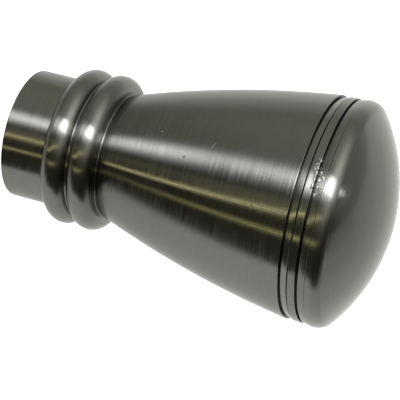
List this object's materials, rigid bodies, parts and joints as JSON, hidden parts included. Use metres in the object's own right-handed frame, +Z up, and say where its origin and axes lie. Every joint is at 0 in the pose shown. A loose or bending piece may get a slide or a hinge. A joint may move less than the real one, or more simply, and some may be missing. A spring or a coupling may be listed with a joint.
{
  "type": "curtain pole finial",
  "caption": "Flared turned finial for the end of a curtain pole, with a plain socket neck, rounded beads, fine grooves by the rim and a domed end.",
  "frame": {"origin": "centre of the neck's open end, where the pole goes in", "axes": "+X along the pole's axis from the neck towards the domed end, +Z up when the pole is level, +Y across it"},
  "size_m": [0.0909, 0.0532, 0.0532],
  "materials": {
    "brushed_black_nickel": "satin, brushed around the axis on the neck and cone, smoother on the beads and dome"
  },
  "bodies": {
    "root": {"finial": "brushed_black_nickel"}
  },
  "joints": []
}
